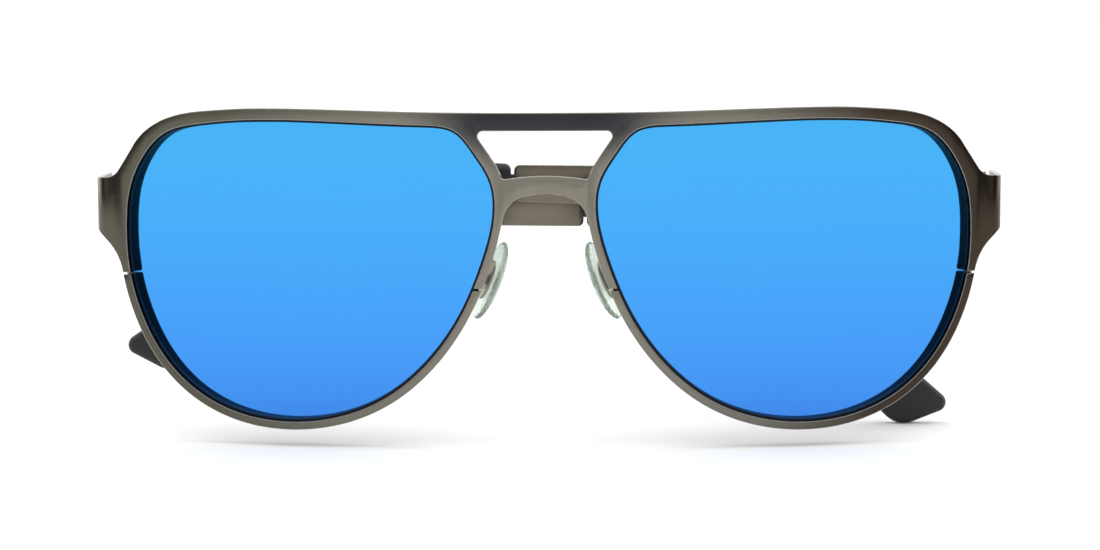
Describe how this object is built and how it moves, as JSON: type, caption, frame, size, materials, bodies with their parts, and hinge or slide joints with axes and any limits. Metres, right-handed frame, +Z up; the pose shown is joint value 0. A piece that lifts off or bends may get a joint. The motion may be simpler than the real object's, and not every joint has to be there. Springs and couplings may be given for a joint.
{
  "type": "aviator sunglasses",
  "caption": "Aviator sunglasses, stored folded: curved sheet-metal front with a double bridge, mirrored lenses, adjustable nose pads and hinged temples with rubber ear tips.",
  "frame": {"origin": "middle of the base of the folded object's box, below the lowest ear tip", "axes": "+X to the viewer's right across the front, -Y the way the lenses face, +Z up towards the brow"},
  "size_m": [0.143, 0.0296, 0.0531],
  "materials": {
    "front_sheet": "satin gunmetal plating on stainless sheet",
    "temple_sheet": "satin gunmetal plating on stainless sheet",
    "eyewire": "gloss black-blue lacquer",
    "mirror_lens": "blue mirror coating, lighter at the top",
    "fittings": "tumbled nickel silver",
    "screws": "polished steel",
    "pad_silicone": "clear silicone",
    "tip_rubber": "matt charcoal rubber"
  },
  "bodies": {
    "front": {"front_plate": "front_sheet", "lower_rim_left": "front_sheet", "eyewire_left": "eyewire", "lens_left": "mirror_lens", "closing_block_upper_left": "fittings", "closing_block_lower_left": "fittings", "closing_screw_left": "screws", "pad_arm_left": "fittings", "pad_box_left": "fittings", "pad_screw_left": "screws", "hinge_front_left": "fittings", "hinge_screw_left": "screws", "lower_rim_right": "front_sheet", "eyewire_right": "eyewire", "lens_right": "mirror_lens", "closing_block_upper_right": "fittings", "closing_block_lower_right": "fittings", "closing_screw_right": "screws", "pad_arm_right": "fittings", "pad_box_right": "fittings", "pad_screw_right": "screws", "hinge_front_right": "fittings", "hinge_screw_right": "screws"},
    "temple_arm_left": {"hinge_temple_left": "fittings", "temple_left": "temple_sheet", "temple_tip_left": "tip_rubber"},
    "temple_arm_right": {"hinge_temple_right": "fittings", "temple_right": "temple_sheet", "temple_tip_right": "tip_rubber"},
    "pad_left": {"nose_pad_left": "pad_silicone", "pad_core_left": "fittings"},
    "pad_right": {"nose_pad_right": "pad_silicone", "pad_core_right": "fittings"}
  },
  "joints": [
    {"name": "temple_hinge_left", "type": "hinge", "parent": "front", "child": "temple_arm_left", "pos_m": [-0.0692, 0.00671, 0.03784], "axis": [0.0297, 0, 0.9996], "range_deg": [0, 88]},
    {"name": "temple_hinge_right", "type": "hinge", "parent": "front", "child": "temple_arm_right", "pos_m": [0.0692, 0.00671, 0.03784], "axis": [-0.0297, 0, -0.9996], "range_deg": [0, 91]},
    {"name": "pad_rock_left", "type": "hinge", "parent": "front", "child": "pad_left", "pos_m": [-0.01151, -0.00767, 0.02671], "axis": [-0.4353, 0.8829, 0.1759], "range_deg": [-8, 8]},
    {"name": "pad_rock_right", "type": "hinge", "parent": "front", "child": "pad_right", "pos_m": [0.01151, -0.00767, 0.02671], "axis": [0.4353, 0.8829, 0.1759], "range_deg": [-8, 8]}
  ]
}
